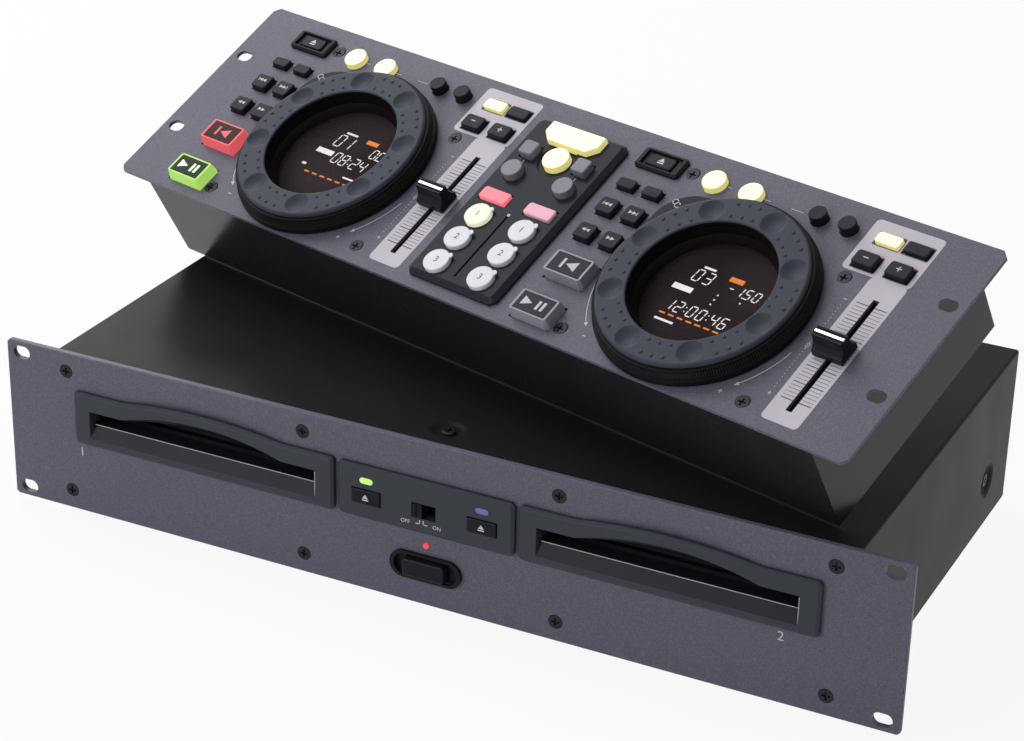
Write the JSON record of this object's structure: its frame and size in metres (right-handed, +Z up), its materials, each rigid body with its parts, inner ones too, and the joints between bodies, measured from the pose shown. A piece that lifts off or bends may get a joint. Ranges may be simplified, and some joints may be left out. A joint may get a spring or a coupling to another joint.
{
  "type": "rack dual disc player with jog controller",
  "caption": "Rack-mount dual slot-loading disc player with a separate tilted control unit: jog dials, displays, tempo faders, cue, play and hot-cue keys.",
  "frame": {"origin": "centre of the player's rack-slot pattern, on the front face of the player's panel", "axes": "+X to the right along the rack width, +Y into the unit, +Z up"},
  "size_m": [0.4945, 0.2671, 0.2046],
  "materials": {
    "panel_paint": "blue-grey paint with fine sparkle, satin",
    "cover_paint": "black satin paint",
    "steel_sheet": "plated steel sheet",
    "slate_plastic": "slate grey moulded plastic, light satin",
    "black_plastic": "black moulded plastic",
    "gloss_black": "gloss black plastic",
    "board_green": "green circuit board",
    "screw_steel": "blackened bright screws",
    "rubber": "black rubber",
    "key_white": "white translucent keys",
    "key_yellow": "pale yellow lit keys",
    "key_red": "pale red lit keys",
    "key_green": "pale green lit keys",
    "key_grey": "grey lilac keys",
    "lens_green": "tinted lenses",
    "display_glass": "tinted display window"
  },
  "bodies": {
    "player": {"player_front_panel": "panel_paint", "player_chassis": "steel_sheet", "player_top_cover": "cover_paint", "player_rear_panel": "cover_paint", "player_feet": "rubber", "player_screws": "screw_steel", "player_electronics": "board_green", "rear_connectors": "black_plastic", "center_fascia": "slate_plastic", "power_bezel": "slate_plastic", "indicator_lenses": "lens_green", "slot_bezel_a": "slate_plastic", "slot_bezel_b": "slate_plastic", "drive_deck_a": "steel_sheet", "drive_deck_b": "steel_sheet"},
    "controller": {"controller_panel": "panel_paint", "controller_case": "cover_paint", "center_plate": "gloss_black", "controller_screws": "screw_steel", "controller_board": "board_green", "eject_key_bezels": "slate_plastic", "controller_sockets": "black_plastic", "jog_hubs": "black_plastic", "display_windows": "display_glass"},
    "power_button": {"power_button": "gloss_black"},
    "player_eject_button_a": {"player_eject_button_a": "gloss_black"},
    "player_eject_button_b": {"player_eject_button_b": "gloss_black"},
    "mode_switch": {"mode_switch": "gloss_black"},
    "turntable_a": {"turntable_a": "black_plastic"},
    "loading_roller_a": {"loading_roller_a": "rubber"},
    "laser_pickup_a": {"laser_pickup_a": "black_plastic"},
    "turntable_b": {"turntable_b": "black_plastic"},
    "loading_roller_b": {"loading_roller_b": "rubber"},
    "laser_pickup_b": {"laser_pickup_b": "black_plastic"},
    "jog_dial_a": {"jog_dial_a": "slate_plastic"},
    "tempo_fader_a": {"tempo_fader_a": "gloss_black"},
    "cue_button_a": {"cue_button_a": "key_red"},
    "play_button_a": {"play_button_a": "key_green"},
    "search_buttons_a": {"search_buttons_a": "key_white"},
    "loop_buttons_a": {"loop_buttons_a": "key_yellow"},
    "tempo_buttons_a": {"tempo_buttons_a": "gloss_black"},
    "hot_cue_buttons_a": {"hot_cue_buttons_a": "key_white"},
    "eject_button_a": {"eject_button_a": "key_white"},
    "jog_mode_button_a": {"jog_mode_button_a": "gloss_black"},
    "jog_dial_b": {"jog_dial_b": "slate_plastic"},
    "tempo_fader_b": {"tempo_fader_b": "gloss_black"},
    "cue_button_b": {"cue_button_b": "key_red"},
    "play_button_b": {"play_button_b": "key_green"},
    "search_buttons_b": {"search_buttons_b": "key_white"},
    "loop_buttons_b": {"loop_buttons_b": "key_yellow"},
    "tempo_buttons_b": {"tempo_buttons_b": "gloss_black"},
    "hot_cue_buttons_b": {"hot_cue_buttons_b": "key_white"},
    "eject_button_b": {"eject_button_b": "key_white"},
    "jog_mode_button_b": {"jog_mode_button_b": "gloss_black"},
    "sync_round_button": {"sync_round_button": "key_yellow"},
    "sync_bar_button": {"sync_bar_button": "key_yellow"},
    "auto_buttons": {"auto_buttons": "key_grey"},
    "tap_buttons": {"tap_buttons": "key_grey"},
    "record_buttons": {"record_buttons": "key_red"},
    "display_buttons": {"display_buttons": "key_white"}
  },
  "joints": [
    {"name": "controller_lift", "type": "slide", "parent": "player", "child": "controller", "axis": [0, 0, 1], "range_m": [0, 0.2]},
    {"name": "power_button_press", "type": "slide", "parent": "player", "child": "power_button", "axis": [0, 1, 0], "range_m": [0, 0.0025], "stiffness_N_per_m": 600, "springref_m": -0.001},
    {"name": "player_eject_button_a_press", "type": "slide", "parent": "player", "child": "player_eject_button_a", "axis": [0, 1, 0], "range_m": [0, 0.0008], "stiffness_N_per_m": 400, "springref_m": -0.001},
    {"name": "player_eject_button_b_press", "type": "slide", "parent": "player", "child": "player_eject_button_b", "axis": [0, 1, 0], "range_m": [0, 0.0008], "stiffness_N_per_m": 400, "springref_m": -0.001},
    {"name": "mode_switch_slide", "type": "slide", "parent": "player", "child": "mode_switch", "axis": [1, 0, 0], "range_m": [0, 0.006]},
    {"name": "turntable_a_spin", "type": "hinge", "parent": "player", "child": "turntable_a", "pos_m": [-0.125, 0.084, 0.0078], "axis": [0, 0, 1], "continuous": true},
    {"name": "loading_roller_a_spin", "type": "hinge", "parent": "player", "child": "loading_roller_a", "pos_m": [-0.125, 0.026, 0.0026], "axis": [1, 0, 0], "continuous": true},
    {"name": "laser_pickup_a_slide", "type": "slide", "parent": "player", "child": "laser_pickup_a", "axis": [0, 1, 0], "range_m": [0, 0.034]},
    {"name": "turntable_b_spin", "type": "hinge", "parent": "player", "child": "turntable_b", "pos_m": [0.125, 0.084, 0.0078], "axis": [0, 0, 1], "continuous": true},
    {"name": "loading_roller_b_spin", "type": "hinge", "parent": "player", "child": "loading_roller_b", "pos_m": [0.125, 0.026, 0.0026], "axis": [1, 0, 0], "continuous": true},
    {"name": "laser_pickup_b_slide", "type": "slide", "parent": "player", "child": "laser_pickup_b", "axis": [0, 1, 0], "range_m": [0, 0.034]},
    {"name": "jog_dial_a_spin", "type": "hinge", "parent": "controller", "child": "jog_dial_a", "pos_m": [-0.12684, 0.13206, 0.12586], "axis": [-0.1374, -0.4638, 0.8752], "continuous": true},
    {"name": "tempo_fader_a_slide", "type": "slide", "parent": "controller", "child": "tempo_fader_a", "axis": [0.2486, 0.8392, 0.4837], "range_m": [-0.032, 0.028]},
    {"name": "cue_button_a_press", "type": "slide", "parent": "controller", "child": "cue_button_a", "axis": [0.1374, 0.4638, -0.8752], "range_m": [0, 0.0012], "stiffness_N_per_m": 400, "springref_m": -0.001},
    {"name": "play_button_a_press", "type": "slide", "parent": "controller", "child": "play_button_a", "axis": [0.1374, 0.4638, -0.8752], "range_m": [0, 0.0012], "stiffness_N_per_m": 400, "springref_m": -0.001},
    {"name": "search_buttons_a_press", "type": "slide", "parent": "controller", "child": "search_buttons_a", "axis": [0.1374, 0.4638, -0.8752], "range_m": [0, 0.0012], "stiffness_N_per_m": 400, "springref_m": -0.001},
    {"name": "loop_buttons_a_press", "type": "slide", "parent": "controller", "child": "loop_buttons_a", "axis": [0.1374, 0.4638, -0.8752], "range_m": [0, 0.0012], "stiffness_N_per_m": 400, "springref_m": -0.001},
    {"name": "tempo_buttons_a_press", "type": "slide", "parent": "controller", "child": "tempo_buttons_a", "axis": [0.1374, 0.4638, -0.8752], "range_m": [0, 0.0012], "stiffness_N_per_m": 400, "springref_m": -0.001},
    {"name": "hot_cue_buttons_a_press", "type": "slide", "parent": "controller", "child": "hot_cue_buttons_a", "axis": [0.1374, 0.4638, -0.8752], "range_m": [0, 0.0012], "stiffness_N_per_m": 400, "springref_m": -0.001},
    {"name": "eject_button_a_press", "type": "slide", "parent": "controller", "child": "eject_button_a", "axis": [0.1374, 0.4638, -0.8752], "range_m": [0, 0.0012], "stiffness_N_per_m": 400, "springref_m": -0.001},
    {"name": "jog_mode_button_a_press", "type": "slide", "parent": "controller", "child": "jog_mode_button_a", "axis": [0.1374, 0.4638, -0.8752], "range_m": [0, 0.0012], "stiffness_N_per_m": 400, "springref_m": -0.001},
    {"name": "jog_dial_b_spin", "type": "hinge", "parent": "controller", "child": "jog_dial_b", "pos_m": [0.10999, 0.06191, 0.12586], "axis": [-0.1374, -0.4638, 0.8752], "continuous": true},
    {"name": "tempo_fader_b_slide", "type": "slide", "parent": "controller", "child": "tempo_fader_b", "axis": [0.2486, 0.8392, 0.4837], "range_m": [-0.032, 0.028]},
    {"name": "cue_button_b_press", "type": "slide", "parent": "controller", "child": "cue_button_b", "axis": [0.1374, 0.4638, -0.8752], "range_m": [0, 0.0012], "stiffness_N_per_m": 400, "springref_m": -0.001},
    {"name": "play_button_b_press", "type": "slide", "parent": "controller", "child": "play_button_b", "axis": [0.1374, 0.4638, -0.8752], "range_m": [0, 0.0012], "stiffness_N_per_m": 400, "springref_m": -0.001},
    {"name": "search_buttons_b_press", "type": "slide", "parent": "controller", "child": "search_buttons_b", "axis": [0.1374, 0.4638, -0.8752], "range_m": [0, 0.0012], "stiffness_N_per_m": 400, "springref_m": -0.001},
    {"name": "loop_buttons_b_press", "type": "slide", "parent": "controller", "child": "loop_buttons_b", "axis": [0.1374, 0.4638, -0.8752], "range_m": [0, 0.0012], "stiffness_N_per_m": 400, "springref_m": -0.001},
    {"name": "tempo_buttons_b_press", "type": "slide", "parent": "controller", "child": "tempo_buttons_b", "axis": [0.1374, 0.4638, -0.8752], "range_m": [0, 0.0012], "stiffness_N_per_m": 400, "springref_m": -0.001},
    {"name": "hot_cue_buttons_b_press", "type": "slide", "parent": "controller", "child": "hot_cue_buttons_b", "axis": [0.1374, 0.4638, -0.8752], "range_m": [0, 0.0012], "stiffness_N_per_m": 400, "springref_m": -0.001},
    {"name": "eject_button_b_press", "type": "slide", "parent": "controller", "child": "eject_button_b", "axis": [0.1374, 0.4638, -0.8752], "range_m": [0, 0.0012], "stiffness_N_per_m": 400, "springref_m": -0.001},
    {"name": "jog_mode_button_b_press", "type": "slide", "parent": "controller", "child": "jog_mode_button_b", "axis": [0.1374, 0.4638, -0.8752], "range_m": [0, 0.0012], "stiffness_N_per_m": 400, "springref_m": -0.001},
    {"name": "sync_round_button_press", "type": "slide", "parent": "controller", "child": "sync_round_button", "axis": [0.1374, 0.4638, -0.8752], "range_m": [0, 0.0012], "stiffness_N_per_m": 400, "springref_m": -0.001},
    {"name": "sync_bar_button_press", "type": "slide", "parent": "controller", "child": "sync_bar_button", "axis": [0.1374, 0.4638, -0.8752], "range_m": [0, 0.0012], "stiffness_N_per_m": 400, "springref_m": -0.001},
    {"name": "auto_buttons_press", "type": "slide", "parent": "controller", "child": "auto_buttons", "axis": [0.1374, 0.4638, -0.8752], "range_m": [0, 0.0012], "stiffness_N_per_m": 400, "springref_m": -0.001},
    {"name": "tap_buttons_press", "type": "slide", "parent": "controller", "child": "tap_buttons", "axis": [0.1374, 0.4638, -0.8752], "range_m": [0, 0.0012], "stiffness_N_per_m": 400, "springref_m": -0.001},
    {"name": "record_buttons_press", "type": "slide", "parent": "controller", "child": "record_buttons", "axis": [0.1374, 0.4638, -0.8752], "range_m": [0, 0.0012], "stiffness_N_per_m": 400, "springref_m": -0.001},
    {"name": "display_buttons_press", "type": "slide", "parent": "controller", "child": "display_buttons", "axis": [0.1374, 0.4638, -0.8752], "range_m": [0, 0.0012], "stiffness_N_per_m": 400, "springref_m": -0.001}
  ]
}
